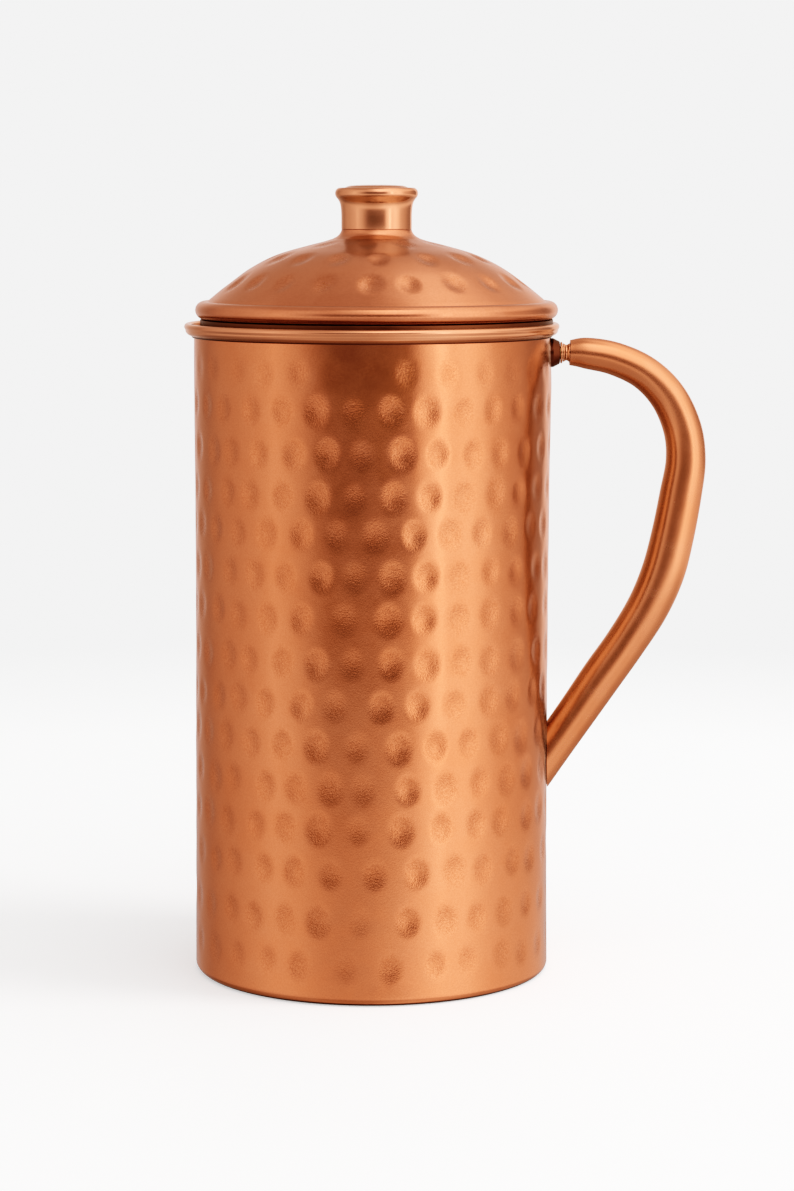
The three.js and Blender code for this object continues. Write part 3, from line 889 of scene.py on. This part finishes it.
def lid_skirt():
    """The ring that enters the mouth, with the stop rib that rests on the gallery."""
    rib = (skirt_high[0] - skirt_low[0]) / 2
    outer = rib - 6.5
    inner = outer - LID_THICKNESS
    rib_bottom = band_high[2] - 1.4
    rib_top = lid_low[2] - 0.1
    section = rounded(
        [
            (inner, skirt_low[2], 0.3), (outer, skirt_low[2], 0.3), (outer, rib_bottom, 0.2),
            (rib, rib_bottom, 0.3), (rib, rib_top, 0.3), (outer, rib_top, 0.3),
            (outer, skirt_high[2], 0.2), (inner, skirt_high[2], 0.2),
        ]
    )
    # The ring is painted dark as shade, so that the gap under the lid's bead reads dark.
    skirt = turned("lid_skirt_ring", section, shaded_copper, 200, LID_X)
    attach(skirt, "lid")
    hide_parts("lid_skirt")


KNOB_WAIST = 11.1
KNOB_BORE_DEPTH = 7.8
CAP_RECESS = 1.2


def knob():
    """The waisted knob with its rolled lip, and the domed cap let into its top."""
    bottom, top = knob_low[2], knob_high[2]
    lip = (knob_high[0] - knob_low[0]) / 2
    waist = KNOB_WAIST
    seat = SEAT_HEIGHT + 0.02
    section = [(0, bottom + KNOB_BORE_DEPTH), (BORE_RADIUS, bottom + KNOB_BORE_DEPTH)]
    section += rounded(
        [(BORE_RADIUS, seat, 0), (waist, seat, 0.15), (waist, bottom + 3.0, 0)],
        closed=False,
    )
    section += smooth_run(
        [
            (waist, bottom + 3.4), (waist + 0.02, bottom + 4.4),
            (waist + 0.12, bottom + 6.2), (waist + 0.32, bottom + 7.5),
            (waist + 0.62, bottom + 8.4), (waist + 1.10, bottom + 9.2),
            (waist + 1.62, bottom + 9.85), (waist + 1.90, bottom + 10.5),
            (waist + 1.95, bottom + 11.1), (waist + 1.82, bottom + 11.75),
            (waist + 1.42, bottom + 12.35), (waist + 0.85, top - 0.08),
        ],
        6,
    )
    cap_radius = (cap_high[0] - cap_low[0]) / 2
    recess_edge = cap_radius + 0.25
    section += rounded(
        [
            (lip - 1.7, top, 0), (recess_edge, top, 0.3),
            (recess_edge, top - CAP_RECESS, 0.1), (0, top - CAP_RECESS, 0),
        ],
        closed=False,
    )[1:]
    body = turned("knob_turned", section, smooth_copper, 160, LID_X)
    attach(body, "lid")
    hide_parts("knob_body")
    cap_section = rounded(
        [(0, cap_low[2], 0), (cap_radius, cap_low[2], 0.1), (cap_radius, top - 0.05, 0.35),
         (cap_radius - 1.2, top + 0.45, 0)],
        closed=False,
    )
    cap_section += smooth_run(
        [(cap_radius - 1.9, top + 0.62), (cap_radius * 0.4, cap_high[2] - 0.06), (0, cap_high[2])],
        8,
    )
    cap = turned("knob_domed_cap", cap_section, smooth_copper, 160, LID_X)
    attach(cap, "lid")
    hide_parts("knob_cap")


body_wall()
base_disc()
mouth_band()
handle_tube()
handle_joint()
slotted_screw("handle_screw_slotted", "handle_screw", 1.9, 2.0, HANDLE_TOP_HEIGHT)
slotted_screw("foot_screw_slotted", "foot_screw", 1.6, 2.0, FOOT_SCREW_HEIGHT)
slotted_screw("knob_screw_slotted", "knob_screw", 1.9, 2.2)
flat_washer("handle_inner_washer", "handle_screw_washer", HANDLE_TOP_HEIGHT)
flat_washer("foot_inner_washer", "foot_screw_washer", FOOT_SCREW_HEIGHT)
flat_washer("knob_flat_washer", "knob_washer")
lid_dome()
lid_skirt()
knob()
for node in ("foot_plug", "lid_edge_wire"):
    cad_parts[node].data.materials.clear()
    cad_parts[node].data.materials.append(dark_copper)


# ---------- floor, studio and camera ----------

PALE = (0.87, 0.87, 0.87, 1)
FLOOR_GLOW = 0.33
FLOOR_RADIUS = 0.75
FLOOR_FADE = 0.45


def floor():
    """A round pale floor that fades into the background at its edge."""
    material, nodes, links, shader = new_material("studio_floor")
    coords = nodes.new("ShaderNodeTexCoord").outputs["Object"]
    length = nodes.new("ShaderNodeVectorMath")
    length.operation = "LENGTH"
    links.new(coords, length.inputs[0])
    far = remap(nodes, links, length.outputs["Value"], FLOOR_FADE, FLOOR_RADIUS, 0, 1)
    mottled = noise_node(nodes, links, coords, 8, 2)
    rough = remap(nodes, links, mottled, 0.3, 0.7, 0.55, 0.7)
    links.new(rough, shader.inputs["Roughness"])
    shader.inputs["Base Color"].default_value = (0.86, 0.855, 0.85, 1)
    shader.inputs["Specular IOR Level"].default_value = 0.2
    shader.inputs["Emission Color"].default_value = (1, 1, 1, 1)
    shader.inputs["Emission Strength"].default_value = FLOOR_GLOW
    glow = nodes.new("ShaderNodeEmission")
    glow.inputs["Color"].default_value = PALE
    blend = nodes.new("ShaderNodeMixShader")
    links.new(far, blend.inputs[0])
    links.new(shader.outputs[0], blend.inputs[1])
    links.new(glow.outputs[0], blend.inputs[2])
    links.new(blend.outputs[0], nodes["Material Output"].inputs["Surface"])
    points, faces = [(0, 0, 0)], []
    sides, rings = 96, 12
    for i in range(1, rings + 1):
        reach = FLOOR_RADIUS / MM * i / rings
        for j in range(sides):
            turn = 2 * math.pi * j / sides
            points.append((reach * math.cos(turn), reach * math.sin(turn), 0))
    for j in range(sides):
        faces.append((0, 1 + j, 1 + (j + 1) % sides))
    for i in range(rings - 1):
        a, b = 1 + i * sides, 1 + (i + 1) * sides
        for j in range(sides):
            k = (j + 1) % sides
            faces.append((a + j, b + j, b + k, a + k))
    plane = mesh_object("studio_floor", points, faces, material)
    # The jug mirrors the surroundings' own floor, so this one only takes the shadow.
    plane.visible_glossy = False


# Brightness of the surroundings by direction, in degrees from the front (-Y) towards +X: from
# the floor below the jug, round it at its own height, raised, and high above it.
BELOW = [
    (-180, 0.45), (-150, 0.40), (-127, 0.35), (-111, 0.45), (-98, 0.52), (-86, 0.62),
    (-66, 0.80), (-50, 0.84), (-32, 0.74), (-17, 0.70), (0, 0.78), (14, 1.00), (26, 1.25),
    (34, 1.28), (46, 1.45), (62, 1.42), (74, 1.12), (90, 0.95), (108, 0.84), (125, 0.78),
    (138, 0.76), (155, 0.60), (180, 0.45),
]
AROUND = [
    (-180, 0.82), (-161, 0.64), (-150, 0.44), (-134, 0.30), (-112, 0.47), (-98, 0.51),
    (-84, 0.60), (-72, 0.70), (-66, 0.90), (-58, 0.74), (-47, 0.56), (-38, 0.34),
    (-29, 0.17), (-20, 0.135), (-8, 0.13), (4, 0.145), (16, 0.175), (24, 0.21), (28, 0.41),
    (33, 1.14), (39, 1.16), (44, 2.55), (50, 1.20), (62, 1.56), (74, 1.26), (84, 0.78),
    (95, 0.62), (106, 0.51), (122, 0.33), (143, 0.24), (148, 0.92), (180, 0.82),
]
RAISED = [
    (-180, 0.40), (-145, 0.40), (-110, 0.52), (-60, 0.74), (-30, 0.55), (-12, 0.70),
    (3, 1.40), (12, 1.60), (24, 1.50), (45, 1.65), (70, 1.50), (95, 1.10), (130, 0.85),
    (155, 0.55), (180, 0.40),
]
ABOVE = [
    (-180, 0.52), (-145, 0.40), (-90, 0.36), (-45, 0.45), (-18, 1.00), (0, 1.80), (20, 2.00),
    (45, 1.80), (80, 1.35), (110, 1.40), (145, 1.20), (165, 0.78), (180, 0.52),
]
OVERHEAD = 0.36


def panorama(nodes, links, share, levels):
    """Brightness by direction, from a ramp over the whole turn, which holds up to 32 stops."""
    ramp = nodes.new("ShaderNodeValToRGB")
    links.new(share, ramp.inputs["Fac"])
    stops = ramp.color_ramp.elements
    brightest = max(value for _, value in levels)
    for degrees, value in levels:
        if degrees == -180:
            stop = stops[0]
        elif degrees == 180:
            stop = stops[len(stops) - 1]
        else:
            stop = stops.new((degrees + 180) / 360)
        stop.color = (value / brightest,) * 3 + (1,)
    return maths(nodes, links, "MULTIPLY", ramp.outputs["Color"], brightest)


def studio():
    """Soft surroundings: bright to the right, softer left, dim in front, pale to the camera."""
    world = bpy.data.worlds.new("studio")
    bpy.context.scene.world = world
    world.use_nodes = True
    nodes, links = world.node_tree.nodes, world.node_tree.links
    nodes.clear()
    direction = nodes.new("ShaderNodeTexCoord").outputs["Generated"]
    axes = nodes.new("ShaderNodeSeparateXYZ")
    links.new(direction, axes.inputs[0])
    behind = maths(nodes, links, "MULTIPLY", axes.outputs["Y"], -1.0)
    turn = maths(nodes, links, "ARCTAN2", axes.outputs["X"], behind)
    share = remap(nodes, links, turn, -math.pi, math.pi, 0, 1)
    up = axes.outputs["Z"]
    # The floor is dimmer close to the jug's foot.
    foot_shade = remap(nodes, links, up, -0.44, -0.27, 0.50, 1.0)
    below = maths(nodes, links, "MULTIPLY", panorama(nodes, links, share, BELOW), foot_shade)
    raised = panorama(nodes, links, share, RAISED)
    above = panorama(nodes, links, share, ABOVE)
    radiance = panorama(nodes, links, share, AROUND)
    # Each layer takes over between two heights, as the sine of the angle above the horizon.
    for start, end, layer in (
        (-0.125, -0.215, below), (0.26, 0.46, raised), (0.70, 0.88, above), (0.95, 0.997, OVERHEAD),
    ):
        takeover = remap(nodes, links, up, start, end, 0, 1)
        radiance = blend_values(nodes, links, takeover, radiance, layer)
    lit = nodes.new("ShaderNodeBackground")
    links.new(radiance, lit.inputs["Strength"])
    plain = nodes.new("ShaderNodeBackground")
    plain.inputs["Color"].default_value = PALE
    seen = nodes.new("ShaderNodeLightPath").outputs["Is Camera Ray"]
    blend = nodes.new("ShaderNodeMixShader")
    links.new(seen, blend.inputs[0])
    links.new(lit.outputs[0], blend.inputs[1])
    links.new(plain.outputs[0], blend.inputs[2])
    output = nodes.new("ShaderNodeOutputWorld")
    links.new(blend.outputs[0], output.inputs["Surface"])


def key_light():
    """A soft light from the right that throws the jug's faint shadow to the left."""
    data = bpy.data.lights.new("key", "AREA")
    data.shape = "DISK"
    data.size = 0.7
    data.energy = 9
    key = bpy.data.objects.new("key", data)
    key.location = (1.25, -0.35, 0.95)
    aim = Vector((0, 0, 0.05)) - key.location
    key.rotation_euler = aim.to_track_quat("-Z", "Y").to_euler()
    key.visible_glossy = False
    key.visible_camera = False
    bpy.context.scene.collection.objects.link(key)


CAMERA_TIP = 7.125  # degrees down
CAMERA_TURN = 0.453  # degrees to its right


def camera():
    """Camera at the height of the knob, about a metre in front of the jug, tipped down."""
    data = bpy.data.cameras.new("camera")
    data.lens = 95.64
    data.sensor_width = 36
    data.clip_start = 0.05
    data.clip_end = 50
    eye = bpy.data.objects.new("camera", data)
    eye.location = (0, -1.00264, 0.24551)
    eye.rotation_euler = (math.radians(90 - CAMERA_TIP), 0, math.radians(-CAMERA_TURN))
    bpy.context.scene.collection.objects.link(eye)
    bpy.context.scene.camera = eye


# The tone curve. The toe deepens the darks and the shoulder rounds off the highlights.
TONE_WHITE = 1.25
TONE_GAIN = 1.5
TONE_TOE = 0.07
TONE_SHOULDER = 0.48
TONE_STEPS = 12


def shown_brightness(value):
    """How bright a brightness in the scene is shown, both linear."""
    return min(1.0, TONE_GAIN * value / (value + TONE_TOE) * value / (value + TONE_SHOULDER))


def tone():
    """The contrast of a product photograph: deeper darks and rounded highlights."""
    settings = bpy.context.scene.view_settings
    settings.view_transform = "Standard"
    settings.use_curve_mapping = True
    mapping = settings.curve_mapping
    mapping.white_level = (TONE_WHITE,) * 3
    combined = mapping.curves[3]
    for _ in range(TONE_STEPS - len(combined.points)):
        combined.points.new(0.5, 0.5)
    for i, point in enumerate(combined.points):
        share = (i / (TONE_STEPS - 1)) ** 2
        point.location = (share, shown_brightness(TONE_WHITE * share))
    mapping.update()


floor()
studio()
key_light()
camera()
tone()
